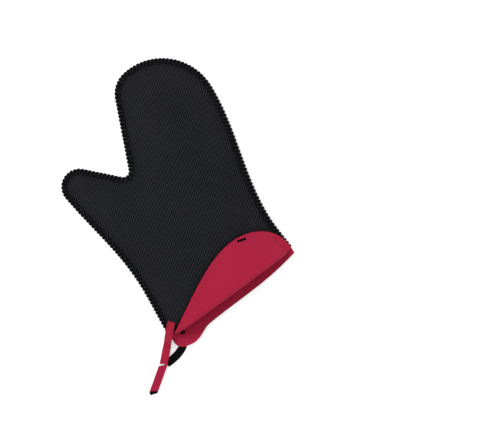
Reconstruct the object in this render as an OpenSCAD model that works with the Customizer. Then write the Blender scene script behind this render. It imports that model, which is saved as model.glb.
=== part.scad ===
// Neoprene oven mitt: two panels of laminated foam rubber, overlocked together round the hand,
// a cuff turned back on the front, and a hanging loop of the same laminate at the cuff's corner.
// Lengths are in millimetres. +Y runs from the cuff to the fingertips, +Z is up, and the mitt lies
// on its back panel.

/* [Hand outline] */
// From the middle of the cuff's fold to the fingertips
hand_l = 287.5; // [265:1:320]
// From the centre line to the edge at the cuff, on the thumb side
cuff_thumb = 94; // [85:1:105]
// From the centre line to the edge at the cuff, on the little-finger side
cuff_little = 85; // [76:1:96]
// How far the fold drops towards the thumb side and climbs towards the other
cuff_tilt = 5; // [0:0.5:8]
// From the centre line to the waist, on the thumb side
waist_thumb = 90.2; // [80:0.5:100]
// Height of the waist above the cuff, on the thumb side
waist_thumb_y = 76; // [60:1:90]
// From the centre line to the waist, on the little-finger side
waist_little = 82; // [74:0.5:92]
// Height of the waist above the cuff, on the little-finger side
waist_little_y = 46; // [30:1:60]
// Radius of the outline over the fingertips
tip_r = 67; // [60:0.5:75]
// From the centre line to the middle of that radius
tip_x = 42; // [36:0.5:48]
// Radius of the outline at the index fingertip
index_r = 32; // [26:0.5:38]

/* [Thumb] */
// From the centre line to the middle of the thumb's tip
thumb_x = 87.8; // [78:0.2:98]
// Height of the middle of the thumb's tip above the cuff
thumb_y = 202.5; // [194:0.5:225]
// Radius of the outline round the thumb's tip
thumb_r = 20.5; // [16:0.5:25]
// From the centre line to the middle of the notch between thumb and fingers
web_x = 34; // [26:0.5:40]
// Height of that notch's middle above the cuff
web_y = 189.5; // [178:0.5:200]
// Radius of the notch
web_r = 8; // [7:0.5:11]

/* [Laminate] */
// Thickness of the knitted face cloth
face_t = 0.5; // [0.4:0.1:0.8]
// Thickness of the foam rubber core
core_t = 2.2; // [1.6:0.1:3]
// Thickness of the foam where the edge stitch squeezes it
core_edge_t = 1.2; // [0.8:0.1:1.5]
// Thickness of the jersey lining
lining_t = 0.5; // [0.4:0.1:0.8]

/* [Hollow] */
// Height that the hollow tends to, far from the seam
hollow_h = 28; // [20:1:36]
// How gradually the hollow opens from the seam
hollow_reach = 25; // [18:1:34]
// Height of the seam's middle above the surface the mitt lies on
edge_rise = 4.5; // [4:0.1:7]
/* [Edge stitch] */
// Width of the overlocked band
stitch_w = 5.4; // [4:0.1:6.2]
// Thickness of the thread
thread_t = 0.8; // [0.5:0.1:1]
// Clearance between thread and cloth
thread_gap = 0.2; // [0.1:0.05:0.3]

/* [Cuff] */
// Height of the turned-back flap at its crest
flap_h = 48; // [34:1:60]
// From the centre line to the crest
flap_x = 31; // [20:1:45]
// From the edge on the thumb side to where the flap starts
flap_in = 10; // [9:0.5:16]
// Height of the flap where it starts and ends
flap_end = 1.5; // [1:0.5:4]
// Gap inside the fold
fold_gap = 1.4; // [1.4:0.1:2.4]
// Depth of the back panel's lip at the little-finger side
lip_little = 8.6; // [5:0.2:12]
// Depth of the back panel's lip at the thumb side
lip_thumb = 20; // [14:0.5:24]
// Radius of the lip's corner at the thumb side
lip_r = 9; // [5:0.5:10]
// How much further the lobe in the lip reaches
lobe_h = 6; // [3:0.5:10]
// From the edge on the thumb side to the middle of the lobe
lobe_in = 23; // [16:0.5:28]
// Half width of the lobe
lobe_w = 24; // [16:0.5:28]

/* [Hanging loop] */
// Width of the strap
strap_w = 9.5; // [7:0.5:11]
// Thickness of the strap's foam
strap_core_t = 2; // [1.4:0.1:2.2]
// Thickness of the strap's coloured facing
strap_face_t = 0.5; // [0.4:0.1:0.6]
// Clearance round the strap in its slit
slit_gap = 0.3; // [0.2:0.1:0.5]
// Length of the front strap from its slit to the notch
run_l = 48; // [44:1:60]
// Direction of the front strap, from the thumb side towards the cuff
strap_angle = 46; // [40:0.5:54]
// How far the tail turns away from the front strap's direction
tail_turn = 9; // [0:1:20]
// From the edge on the thumb side to the middle of the slit
slit_in = 8; // [6:0.5:14]
// Length of the tail beyond the notch
tail_l = 38.5; // [24:1:48]
// Length of bare foam at the tail's end
bare_l = 4.3; // [2:0.1:8]
// Width of the notch in the front strap
notch_w = 2; // [1.4:0.1:3]
// Part of the strap left beside the notch
bridge_w = 3.4; // [2.5:0.1:4.5]
// How far the notch leans from square across the strap
notch_lean = 24; // [0:1:30]

/* [Bar tacks] */
// Length of the tack that holds the flap
flap_tack_l = 10.5; // [7:0.5:14]
// From the edge on the thumb side to the tack that holds the rear strap
tack_in = 15; // [12:0.5:18]
// Length of that tack
strap_tack_l = 6; // [4:0.5:8]
// Width of a tack
tack_w = 2; // [1.4:0.1:2.6]
// Thickness of a tack's thread over the cloth
tack_t = 0.7; // [0.5:0.1:1]

/* [Folds] */
// Height of the thumb fold's lower end above the cuff
thumb_low = 72; // [60:1:90]
// Distance of the finger fold from the notch, along the index finger's edge
knuckle_index = 34; // [26:1:44]
// Height of the finger fold above the cuff, along the little-finger edge
knuckle_little = 172; // [160:1:185]
// Gap cut between two parts that fold
fold_cut = 0.6; // [0.4:0.1:1]

/* [Hidden] */

black = "#1c1d20";
foam = "#101012";
thread = "#0b0b0c";
red = "#b51f3f";
flap_start = cuff_thumb - flap_in;
lobe_x = cuff_thumb - lobe_in;
tack_x = cuff_thumb - tack_in;

function turned(a) = [cos(a), sin(a)];
function unit(v) = v / norm(v);
function heading(v) = atan2(v.y, v.x);
function mix(a, b, t) = a + (b - a) * t;
function ease(t) = let (c = min(1, max(0, t))) c * c * (3 - 2 * c);

// ---- outline of the hand, clockwise from the cuff's thumb side: x, y and the inward normal ----

tip_c = [tip_x, hand_l - tip_r];
tip_join = 100;       // direction in which the index finger's arc meets the arc over the tips
index_c = tip_c + (tip_r - index_r) * turned(tip_join);
thumb_c = [-thumb_x, thumb_y];
web_c = [-web_x, web_y];
side_angle = 187;     // direction in which the thumb's arc meets the side
little_angle = -4;    // direction in which the arc over the tips meets the other side
thumb_cap = [158, 68];
tip_cap = [128, 45];

// Direction, on circle a, of the line that crosses over to the circle b on its other side
function cross_angle(a, ra, b, rb, side) = heading(b - a) + side * acos((ra + rb) / norm(b - a));
web_in = cross_angle(thumb_c, thumb_r, web_c, web_r, 1);
web_out = 360 + cross_angle(index_c, index_r, web_c, web_r, -1);

// Arc from direction a to direction b in n steps; out is 1 on a convex edge and -1 in the notch
function arc(c, r, a, b, n, out = 1) =
    [for (i = [0 : n - 1]) let (t = turned(mix(a, b, i / n))) [each c + r * t, each -out * t]];
function line(a, b, n) = let (d = unit(b - a))
    [for (i = [0 : n - 1]) [each mix(a, b, i / n), d.y, -d.x]];
// Cubic curve from a, leaving along ta, to b, arriving along tb
function curve(a, ta, b, tb, n) = let (k = norm(b - a) * 0.34, p = a + k * ta, q = b - k * tb)
    [for (i = [0 : n - 1]) let (t = i / n, u = 1 - t,
        d = unit(u * u * (p - a) + 2 * u * t * (q - p) + t * t * (b - q)))
        [each u * u * u * a + 3 * u * u * t * p + 3 * u * t * t * q + t * t * t * b, d.y, -d.x]];

cuff_a = [-cuff_thumb, -cuff_tilt];
cuff_b = [cuff_little, cuff_tilt];
waist_a = [-waist_thumb, waist_thumb_y];
waist_b = [waist_little, waist_little_y];

K = 3;                // steps of the fine outline in each step of the coarse one
OUTLINE = concat(
    curve(cuff_a, turned(88), waist_a, turned(91.5), 6 * K),
    curve(waist_a, turned(91.5), thumb_c + thumb_r * turned(side_angle), turned(side_angle - 90), 9 * K),
    arc(thumb_c, thumb_r, side_angle, thumb_cap[0], K),
    arc(thumb_c, thumb_r, thumb_cap[0], thumb_cap[1], 8 * K),
    arc(thumb_c, thumb_r, thumb_cap[1], web_in, K),
    line(thumb_c + thumb_r * turned(web_in), web_c - web_r * turned(web_in), 8 * K),
    arc(web_c, web_r, web_in + 180, 270, K, -1),
    arc(web_c, web_r, 270, web_out + 180, 2 * K, -1),
    line(web_c - web_r * turned(web_out), index_c + index_r * turned(web_out), 7 * K),
    arc(index_c, index_r, web_out, tip_cap[0], 2 * K),
    arc(index_c, index_r, tip_cap[0], tip_join, 3 * K),
    arc(tip_c, tip_r, tip_join, tip_cap[1], 6 * K),
    arc(tip_c, tip_r, tip_cap[1], little_angle, 5 * K),
    curve(tip_c + tip_r * turned(little_angle), turned(little_angle - 88), waist_b, turned(-90), 15 * K),
    curve(waist_b, turned(-90), cuff_b, turned(-86), 6 * K),
    [[each cuff_b, -1, 0]]
);
STEPS = [for (i = 0, s = 0; i < len(OUTLINE);
    i = i + 1, s = i < len(OUTLINE) ? s + norm([OUTLINE[i].x, OUTLINE[i].y]
        - [OUTLINE[i - 1].x, OUTLINE[i - 1].y]) : s) s];
TABLE = [for (k = [0 : 3]) [for (i = [0 : len(OUTLINE) - 1]) [STEPS[i], OUTLINE[i][k]]]];

// Point of the outline at length s from its start, and the inward normal there
function at(s) = [lookup(s, TABLE[0]), lookup(s, TABLE[1])];
function inward(s) = unit([lookup(s, TABLE[2]), lookup(s, TABLE[3])]);
// Inner side of the sewn band, which narrows to the thread's own width at the cuff
function inset_at(s) = at(s) + mix(stitch_w + 0.1, band, min(1, s / 30, (s_end - s) / 30)) * inward(s);

band = stitch_w + 0.8;
s_end = STEPS[len(STEPS) - 1];
s_cap = [STEPS[16 * K], STEPS[24 * K]];
s_web = STEPS[34 * K];
s_tip = [STEPS[45 * K], STEPS[54 * K]];
s_low = thumb_low + cuff_tilt;
s_index = s_web + knuckle_index;
s_little = s_end - knuckle_little;

// ---- height of the hollow ----

// Smooth stand-in for the distance to the sewn edge, from a coarse row of outline points
EDGE = [for (i = [0 : K : len(OUTLINE) - 1]) let (a = max(0, i - K), b = min(len(OUTLINE) - 1, i + K))
    [OUTLINE[i].x, OUTLINE[i].y, (STEPS[b] - STEPS[a]) / 2]];
function inverse(p, e) = let (dx = p.x - e.x, dy = p.y - e.y, q = dx * dx + dy * dy + 0.01) e.z / (q * q);
function depth(p) = let (w = [for (e = EDGE) inverse(p, e)]) 1.162 * pow(w * [for (e = EDGE) 1], -1 / 3);

function open_by(d) = let (u = max(0, d - band)) hollow_h * (1 - exp(-u * u / ((u + 4) * hollow_reach)));
// The corner at the loop lies on the rear strap
corner_rise = strap_core_t + strap_face_t + 0.3;
function corner(p) = corner_rise * ease(1.6 - norm([p.x + tack_x, (p.y + 14) * 0.8]) / 38);
function core_at(d) = mix(core_edge_t, core_t, ease((d - band) / 8));

// Inner surface of the front panel; its normal; and the surface at a height over it. The height is
// given as the share of lining, foam and face cloth passed, plus a plain length.
function ceiling(p) = [p.x, p.y, edge_rise + corner(p) + open_by(depth(p))];
function ceiling_normal(p) = let (e = 0.5, a = ceiling(p), b = ceiling(p + [e, 0]), c = ceiling(p + [0, e]))
    unit([a.z - b.z, a.z - c.z, e]);
function stack(d, share) = share[0] * lining_t + share[1] * core_at(d) + share[2] * face_t + share[3];
// Way through the cloth for each millimetre of it: straight up at the cuff, where the flap lies flat
// over its plan, and along the normal from a few centimetres above the fold on
function upright(p) = [0, 0, 1 / ceiling_normal(p).z];
function fold_y(x) = mix(-cuff_tilt, cuff_tilt, (x + cuff_thumb) / (cuff_thumb + cuff_little));
function front(p, share) = ceiling(p) + stack(depth(p), share)
    * mix(upright(p), ceiling_normal(p), ease((p.y - fold_y(p.x)) / 30));
function over(p, share) = ceiling(p) + stack(depth(p), share) * upright(p);

// Inner surface of the back panel and the surfaces below it
function floor_z(p, d) = edge_rise + corner(p)
    - (edge_rise - lining_t - core_t - face_t) * ease((d - band) / 12);
function back(p, share) = let (d = depth(p)) [p.x, p.y, floor_z(p, d) - stack(d, share)];

INNER = [0, 0, 0, 0];
UNDER_CORE = [1, 0, 0, 0];
OVER_CORE = [1, 1, 0, 0];
OUTER = [1, 1, 1, 0];

// ---- grids of plan points ----

cols = 12;
// Patch that fills four sides, each given as a list of points
function coons(left, right, low, top) = let (m = len(left) - 1, n = len(low) - 1)
    [for (i = [0 : m]) let (v = i / m) [for (j = [0 : n]) let (u = j / n)
        mix(low[j], top[j], v) + mix(left[i], right[i], u)
            - mix(mix(left[0], right[0], u), mix(left[m], right[m], u), v)]];
function between(a, b, n) = [for (i = [0 : n]) mix(a, b, i / n)];
// Adds the sewn band to a patch: its outer points on the left, on the right and along the top
function banded(patch, left, right, top) = concat(
    [for (i = [0 : len(patch) - 1]) concat([left[i]], patch[i], [right[i]])], top);

web_point = at(s_web);
thumb_fold = web_point - at(s_low);
fold_side = unit([thumb_fold.y, -thumb_fold.x]);
side_rows = 5;
fold_rows = 7;
palm_rows = side_rows + fold_rows + 3;
PALM_S = [for (i = [0 : side_rows]) s_low * i / side_rows];
WEB_S = [for (i = [1 : 3]) s_web + knuckle_index * i / 3];
LITTLE_S = [for (i = [0 : palm_rows]) s_end - knuckle_little * i / palm_rows];
// Lengths along the fold, from either end, at which it leaves the sewn band
fold_dir = unit(thumb_fold);
fold_in = (stitch_w + 0.2) / (inward(s_low) * fold_dir);
fold_out = -band / (inward(s_web) * fold_dir);
FOLD_LINE = concat(
    between(at(s_low) + fold_in * fold_dir, web_point - fold_out * fold_dir, fold_rows - 2), [web_point]);
PALM = banded(
    [for (i = [0 : palm_rows]) between(
        i <= side_rows ? inset_at(PALM_S[i])
            : i < side_rows + fold_rows
                ? FOLD_LINE[i - side_rows - 1] + (i == side_rows + 1 ? 0.1 : 1) * band * fold_side
            : i == side_rows + fold_rows ? inset_at(s_web)
            : inset_at(WEB_S[i - side_rows - fold_rows - 1]),
        inset_at(LITTLE_S[i]), cols)],
    concat([for (s = PALM_S) at(s)], FOLD_LINE, [for (s = WEB_S) at(s)]),
    [for (s = LITTLE_S) at(s)], []);

corner_step = 3;
function cap_row(s) = concat([at(s[0])],
    [for (t = between(s[0] + corner_step, s[1] - corner_step, s[2])) at(t)], [at(s[1])]);
// Patch from a fold to a rounded end; low holds its two ends on the outline
function capped(from, to, cap, rows, n) = let (
    ls = between(from, cap[0], rows), rs = between(to, cap[1], rows),
    patch = coons([for (s = ls) inset_at(s)], [for (s = rs) inset_at(s)],
        between(inset_at(from), inset_at(to), n), [for (s = between(cap[0], cap[1], n)) inset_at(s)]))
    banded(patch,
        [for (i = [0 : rows]) at(i == rows ? cap[0] - corner_step : ls[i])],
        [for (i = [0 : rows]) at(i == rows ? cap[1] + corner_step : rs[i])],
        [cap_row([cap[0], cap[1], n])]);
FINGERS = capped(s_index + fold_cut, s_little - fold_cut, s_tip, 7, cols);

// The thumb's first row lies along the fold, a cut away from the palm
thumb_cols = 8;
fold_shift = -fold_cut * fold_side;
THUMB_LS = between(s_low, s_cap[0], 7);
THUMB_RS = between(s_web, s_cap[1], 7);
function thumb_left(i) = i == 0 ? FOLD_LINE[0] + fold_shift : inset_at(THUMB_LS[i]);
function thumb_right(i) = i == 0 ? FOLD_LINE[fold_rows - 2] + fold_shift : inset_at(THUMB_RS[i]);
THUMB = banded(
    coons([for (i = [0 : 7]) thumb_left(i)], [for (i = [0 : 7]) thumb_right(i)],
        between(thumb_left(0), thumb_right(0), thumb_cols),
        [for (s = between(s_cap[0], s_cap[1], thumb_cols)) inset_at(s)]),
    [for (i = [0 : 7]) i == 0 ? at(s_low) + fold_shift + 0.9 * fold_dir
        : at(i == 7 ? s_cap[0] - corner_step : THUMB_LS[i])],
    [for (i = [0 : 7]) i == 0 ? web_point + fold_shift
        : at(i == 7 ? s_cap[1] + corner_step : THUMB_RS[i])],
    [cap_row([s_cap[0], s_cap[1], thumb_cols])]);

// ---- solids between two grids ----

function flat(rows) = [for (r = rows) each r];
function quad(a, b, c, d) = [[a, b, c], [a, c, d]];
// Closed solid with one grid of points above and the same grid below
module shell(top, low) {
    m = len(top) - 1;
    n = len(top[0]) - 1;
    h = (m + 1) * (n + 1);
    function id(i, j) = i * (n + 1) + j;
    polyhedron(concat(flat(top), flat(low)), concat(
        [for (i = [0 : m - 1], j = [0 : n - 1])
            each quad(id(i, j), id(i + 1, j), id(i + 1, j + 1), id(i, j + 1))],
        [for (i = [0 : m - 1], j = [0 : n - 1])
            each [[h + id(i, j), h + id(i + 1, j + 1), h + id(i + 1, j)],
                [h + id(i, j), h + id(i, j + 1), h + id(i + 1, j + 1)]]],
        [for (j = [0 : n - 1]) each quad(id(0, j), id(0, j + 1), h + id(0, j + 1), h + id(0, j))],
        [for (j = [0 : n - 1]) each quad(id(m, j + 1), id(m, j), h + id(m, j), h + id(m, j + 1))],
        [for (i = [0 : m - 1]) each quad(id(i + 1, 0), id(i, 0), h + id(i, 0), h + id(i + 1, 0))],
        [for (i = [0 : m - 1]) each quad(id(i, n), id(i + 1, n), h + id(i + 1, n), h + id(i, n))]));
}
function lifted(grid, share) = [for (r = grid) [for (p = r) front(p, share)]];
function laid_over(grid, share) = [for (r = grid) [for (p = r) over(p, share)]];
function lowered(grid, share) = [for (r = grid) [for (p = r) back(p, share)]];

// ---- the turned-back cuff: rows from the flap's free edge, round the fold, to the palm ----

// Height of the free edge over the fold at x: a curve through the crest that is flat there
function flap_at(x) = let (u = x < flap_x ? max(0, x + flap_start) / (flap_x + flap_start)
    : (cuff_little - x) / (cuff_little - flap_x))
    mix(flap_end, flap_h, x < flap_x ? u * (1.36 - 0.36 * u * u * u) : sqrt(max(0, u * (2 - u))));
flap_rows = 5;
fold_steps = 4;
function flap_share(share) = [2 - share[0], 2 - share[1], 2 - share[2], fold_gap];
function fold_point(p, share, a) = let (d = depth(p), r = stack(d, OUTER) - stack(d, share) + fold_gap / 2)
    over(p, [1, 1, 1, fold_gap / 2]) - r * (cos(a) * upright(p) + sin(a) * [0, 1, 0]);
function cuff_and_palm(share) = concat(
    [for (i = [0 : flap_rows - 1]) [for (p = PALM[0])
        over(p + [0, flap_at(p.x) * (1 - i / flap_rows)], flap_share(share))]],
    [for (i = [0 : fold_steps - 1]) [for (p = PALM[0]) fold_point(p, share, 180 - 180 * i / fold_steps)]],
    lifted(PALM, share));

// ---- the back panel's lip ----

lip_rows = 3;
function lip_at(x) = let (b = max(0, 1 - pow((x + lobe_x) / lobe_w, 2)),
    c = min(1, max(0, 1 - (x + cuff_thumb) / lip_r)))
    mix(lip_thumb, lip_little, (x + cuff_thumb) / (cuff_little + cuff_thumb)) + lobe_h * b * b
        - lip_r * (1 - sqrt(1 - c * c));
function back_palm(share) = concat(
    [for (i = [0 : lip_rows - 1]) [for (p = PALM[0])
        back(p - [0, lip_at(p.x) * (1 - i / lip_rows)], share)]],
    lowered(PALM, share));

// One layer of the front panel's palm with its flap, less the slit for the strap
module cuffed(over, under) difference() {
    shell(cuff_and_palm(over), cuff_and_palm(under));
    slit();
}
module front_face_palm() color(black) cuffed(OUTER, OVER_CORE);
module front_core_palm() color(foam) cuffed(OVER_CORE, UNDER_CORE);
module front_lining_palm() color(red) cuffed(UNDER_CORE, INNER);
module front_face_thumb() color(black) shell(lifted(THUMB, OUTER), lifted(THUMB, OVER_CORE));
module front_core_thumb() color(foam) shell(lifted(THUMB, OVER_CORE), lifted(THUMB, UNDER_CORE));
module front_lining_thumb() color(red) shell(lifted(THUMB, UNDER_CORE), lifted(THUMB, INNER));
module front_face_fingers() color(black) shell(lifted(FINGERS, OUTER), lifted(FINGERS, OVER_CORE));
module front_core_fingers() color(foam) shell(lifted(FINGERS, OVER_CORE), lifted(FINGERS, UNDER_CORE));
module front_lining_fingers() color(red) shell(lifted(FINGERS, UNDER_CORE), lifted(FINGERS, INNER));
module back_face_palm() color(black) shell(back_palm(OVER_CORE), back_palm(OUTER));
module back_core_palm() color(foam) shell(back_palm(UNDER_CORE), back_palm(OVER_CORE));
module back_lining_palm() color(red) shell(back_palm(INNER), back_palm(UNDER_CORE));
module back_face_thumb() color(black) shell(lowered(THUMB, OVER_CORE), lowered(THUMB, OUTER));
module back_core_thumb() color(foam) shell(lowered(THUMB, UNDER_CORE), lowered(THUMB, OVER_CORE));
module back_lining_thumb() color(red) shell(lowered(THUMB, INNER), lowered(THUMB, UNDER_CORE));
module back_face_fingers() color(black) shell(lowered(FINGERS, OVER_CORE), lowered(FINGERS, OUTER));
module back_core_fingers() color(foam) shell(lowered(FINGERS, UNDER_CORE), lowered(FINGERS, OVER_CORE));
module back_lining_fingers() color(red) shell(lowered(FINGERS, INNER), lowered(FINGERS, UNDER_CORE));

// ---- edge stitch: a thread band folded round the sewn edge, along a row of outline lengths ----

half_seam = lining_t + core_edge_t + face_t;
function band_point(s, d, h) = let (p = at(s), n = inward(s), q = p + max(0, d) * n)
    [each p + d * n, edge_rise + corner(q) + h];
// The band's cut end, as triangles over the ten corners of its section
BAND_END = [[0, 1, 2], [0, 2, 9], [2, 3, 9], [3, 4, 9], [4, 8, 9], [4, 5, 8], [5, 7, 8], [5, 6, 7]];
module edge_band(stations) {
    near = half_seam + thread_gap;
    far = near + thread_t;
    side = thread_gap + thread_t;
    section = [[stitch_w, near], [stitch_w, far], [0, far], [-side, near], [-side, -near], [0, -far],
        [stitch_w, -far], [stitch_w, -near], [-thread_gap, -near], [-thread_gap, near]];
    k = len(section);
    n = len(stations);
    polyhedron([for (s = stations) each [for (q = section) band_point(s, q.x, q.y)]], concat(
        [for (i = [0 : n - 2], j = [0 : k - 1]) let (a = i * k, b = (j + 1) % k)
            each quad(a + j, a + b, a + k + b, a + k + j)],
        [for (f = BAND_END) [for (j = [2 : -1 : 0]) f[j]]],
        [for (f = BAND_END) [for (j = f) (n - 1) * k + j]]));
}
// Everything on the thumb's side of its fold, starting a gap away from it
module beyond_fold(gap) let (c = at(s_low) - gap * fold_side)
    translate([c.x, c.y, 0]) rotate(heading(fold_dir)) translate([-60, 0, -1]) cube([300, 150, 60]);
module edge_stitch_thumb_side() color(thread) difference() {
    edge_band(concat([0.5], [for (i = [1 : side_rows]) PALM_S[i]], [s_low + fold_in]));
    beyond_fold(0);
    slit();
}
module edge_stitch_web() color(thread) difference() {
    edge_band(concat([s_web - band, s_web], WEB_S));
    beyond_fold(0);
}
module edge_stitch_little_side() color(thread)
    edge_band(concat([for (i = [palm_rows : -1 : 1]) LITTLE_S[i]], [s_end - 0.5]));
function cap_stations(cap, n) = concat([cap[0]],
    between(cap[0] + corner_step, cap[1] - corner_step, n), [cap[1]]);
module edge_stitch_thumb() color(thread) intersection() {
    edge_band(concat(
        [s_low - 2, s_low + 0.8], [for (i = [1 : 6]) THUMB_LS[i]], [s_cap[0] - corner_step],
        cap_stations(s_cap, thumb_cols), [s_cap[1] + corner_step], [for (i = [6 : -1 : 1]) THUMB_RS[i]],
        [s_web, s_web + 2]));
    beyond_fold(fold_cut);
}
module edge_stitch_fingers() color(thread) let (
    ls = between(s_index + fold_cut, s_tip[0], 7), rs = between(s_little - fold_cut, s_tip[1], 7))
    edge_band(concat([for (i = [0 : 6]) ls[i]], [s_tip[0] - corner_step], cap_stations(s_tip, cols),
        [s_tip[1] + corner_step], [for (i = [6 : -1 : 0]) rs[i]]));

// ---- bar tacks, pressed a little into the cloth ----

tack_sink = 0.3;      // on the flap; the lip is hollow there, so its tack sinks in by itself
function tack_grid(c, l, a) = [for (i = [0 : 6]) [for (j = [0 : 2])
    c + (i / 6 - 0.5) * l * turned(a) + (j / 2 - 0.5) * tack_w * (i % 6 == 0 ? 0.6 : 1) * turned(a - 90)]];
flap_tack_c = [flap_x + 9, flap_h - 4];
strap_tack_c = [-tack_x, -10.5];
module flap_tack() color(thread) let (g = tack_grid(flap_tack_c, flap_tack_l, -15))
    shell(laid_over(g, [2, 2, 2, fold_gap + tack_t]), laid_over(g, [2, 2, 2, fold_gap - tack_sink]));
module strap_tack() color(thread) let (g = tack_grid(strap_tack_c, strap_tack_l, 0))
    shell(lowered(g, [0, 0, 0, -tack_t]), lowered(g, [0, 0, 0, 0]));

// ---- hanging loop: a front run over the corner, and a rear run from under the lobe ----

strap_t = strap_core_t + strap_face_t;
slit_c = [slit_in - cuff_thumb, 4];
run_dir = -turned(strap_angle);
run_side = [run_dir.y, -run_dir.x];
split_x = -cuff_thumb - 10.5;
lap_z = strap_t + 0.1;
tuck = 5;
// Height of the front run: out of its slit, over the flap's corner, and down outside the edge
rise_dir = -turned(strap_angle + 13);
function over_corner(p) = let (q = [max(p.x, -cuff_thumb + 0.5), max(p.y, -cuff_tilt)],
    s = (p - slit_c) * rise_dir, fall = (-cuff_thumb - 1 - p.x) / (-cuff_thumb - 1 - split_x),
    over_panel = over(q, [1, 1, 1, thread_gap + thread_t + slit_gap]).z,
    over_flap = over(q, [2, 2, 2, fold_gap + slit_gap + 0.8]).z)
    mix(mix(mix(over(q, [1, 0, 0, 0.2]).z, over_panel, ease((s + tuck) / (tuck - 1))),
        over_flap, ease((s + 2) / 4.5)), lap_z, ease(fall));
function on_run(side, s) = slit_c + side * strap_w / 2 * run_side + s * run_dir;
// Length along an edge of the run at which it reaches the line x
function run_to(side, x) = (x - on_run(side, 0).x) / run_dir.x;
root_rows = 14;
ROOT = let (a = between(-tuck, run_to(1, split_x + fold_cut / 2), root_rows),
    b = between(-tuck, run_to(-1, split_x + fold_cut / 2), root_rows))
    [for (i = [0 : root_rows]) between(on_run(-1, b[i]), on_run(1, a[i]), 3)];
function raised(grid, h) = [for (r = grid) [for (p = r) [p.x, p.y, over_corner(p) + h]]];
// The space that the strap and its clearance take in the panel
module slit() let (w = 1 + 2 * slit_gap / strap_w,
    g = [for (s = between(-tuck - slit_gap, 2, 8)) between(on_run(-w, s), on_run(w, s), 3)])
    shell(raised(g, strap_t + slit_gap), raised(g, -slit_gap));
module front_strap_root() color(foam) shell(raised(ROOT, strap_core_t), raised(ROOT, 0));
module front_strap_root_facing() color(red) shell(raised(ROOT, strap_t), raised(ROOT, strap_core_t));

tail_dir = -turned(strap_angle - tail_turn);
tail_side = [tail_dir.y, -tail_dir.x];
mitre = strap_w / 2 * tan(tail_turn / 2);
neck_c = on_run(0, run_l);
function on_tail(side, s) = neck_c + side * strap_w / 2 * tail_side + s * tail_dir;
faced_l = tail_l - bare_l;
FACED = let (a = between(run_to(1, split_x - fold_cut / 2), run_l - mitre, 6),
    b = between(run_to(-1, split_x - fold_cut / 2), run_l + mitre, 6))
    concat([for (i = [0 : 6]) between(on_run(-1, b[i]), on_run(1, a[i]), 2)],
        [for (i = [1 : 8]) between(on_tail(-1, mix(mitre, faced_l - 1.5, i / 8)),
            on_tail(1, mix(-mitre, faced_l + 1.5, i / 8)), 2)]);
BARE_END = [between(on_tail(-1, tail_l - 1.5), on_tail(1, tail_l + 1.5), 2)];
function drooped(grid, h) = [for (r = grid) [for (p = r)
    [p.x, p.y, lap_z * (1 - ease(((p - slit_c) * run_dir - run_l - 4) / 24)) + h]]];
// Slot cut half across the neck from its outer edge, with rounded inner corners
module notch() let (w = strap_w - bridge_w)
    translate([neck_c.x, neck_c.y, -1]) rotate(180 + strap_angle - tail_turn / 2 + notch_lean)
        linear_extrude(strap_t + lap_z + 2) hull() {
            translate([-notch_w / 2, -strap_w / 2 - 4]) square([notch_w, 0.1]);
            for (d = [-1, 1]) translate([d * (notch_w / 2 - 0.6), w - strap_w / 2 - 0.6])
                circle(0.6, $fn = 16);
        }
module front_strap() color(foam) difference() {
    let (g = concat(FACED, BARE_END)) shell(drooped(g, strap_core_t), drooped(g, 0));
    notch();
}
module front_strap_facing() color(red) difference() {
    shell(drooped(FACED, strap_t), drooped(FACED, strap_core_t));
    notch();
}

rear_end = on_run(-0.6, run_l - 1);
rear_start = [-tack_x - 3, -18];
rear_tuck = 8;        // length of the rear strap that lies under the lobe before it bends
REAR = concat(line(rear_start + rear_tuck * turned(60), rear_start, 2),
    curve(rear_start, -turned(60), rear_end, [-1, 0], 14), [[each rear_end, 0, 1]]);
rear_steps = len(REAR) - 1;
rear_split = [for (i = [0 : rear_steps]) if (REAR[i].x > split_x) i];
rear_cut = len(rear_split) - 1;
function rear_row(i) = let (p = REAR[i], c = [p.x, p.y], n = [p[2], p[3]])
    between(c - strap_w / 2 * n, c + strap_w / 2 * n, 2);
function laid(rows, z) = [for (r = rows) [for (p = r) [p.x, p.y, z]]];
REAR_ROOT = [for (i = [0 : rear_cut]) rear_row(i)];
function moved(row, d) = [for (p = row) p + [d, 0]];
REAR_RUN = concat([moved(rear_row(rear_cut), -fold_cut)],
    [for (i = [rear_cut + 1 : rear_steps]) rear_row(i)]);
module rear_strap_root() color(foam) shell(laid(REAR_ROOT, strap_t), laid(REAR_ROOT, strap_face_t));
module rear_strap_root_facing() color(red) shell(laid(REAR_ROOT, strap_face_t), laid(REAR_ROOT, 0));
module rear_strap() color(foam) shell(laid(REAR_RUN, strap_t), laid(REAR_RUN, strap_face_t));
module rear_strap_facing() color(red) shell(laid(REAR_RUN, strap_face_t), laid(REAR_RUN, 0));

front_face_palm();
front_core_palm();
front_lining_palm();
front_face_thumb();
front_core_thumb();
front_lining_thumb();
front_face_fingers();
front_core_fingers();
front_lining_fingers();
back_face_palm();
back_core_palm();
back_lining_palm();
back_face_thumb();
back_core_thumb();
back_lining_thumb();
back_face_fingers();
back_core_fingers();
back_lining_fingers();
edge_stitch_thumb_side();
edge_stitch_web();
edge_stitch_little_side();
edge_stitch_thumb();
edge_stitch_fingers();
flap_tack();
strap_tack();
front_strap_root();
front_strap_root_facing();
rear_strap_root();
rear_strap_root_facing();
front_strap();
front_strap_facing();
rear_strap();
rear_strap_facing();
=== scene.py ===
# %% [markdown]
# # An oven mitt in three layers
#
# The mitt is cut from a laminate: a black knitted face cloth, a foam rubber core and a red jersey
# lining. Two panels of it are overlocked together round the hand. The front panel's cuff is turned
# back, so that the lining shows as a red flap, and a strap of the same laminate makes the loop.
# The engineering model already has every layer as a plain solid. Here each of them is remade as a
# finer surface with its weave, and the seams get their thread. All shapes are worked out as arrays:
# a grid of plan points, a height for each point, and a thickness that goes straight up at the cuff
# and along the normal over the hand.

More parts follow.
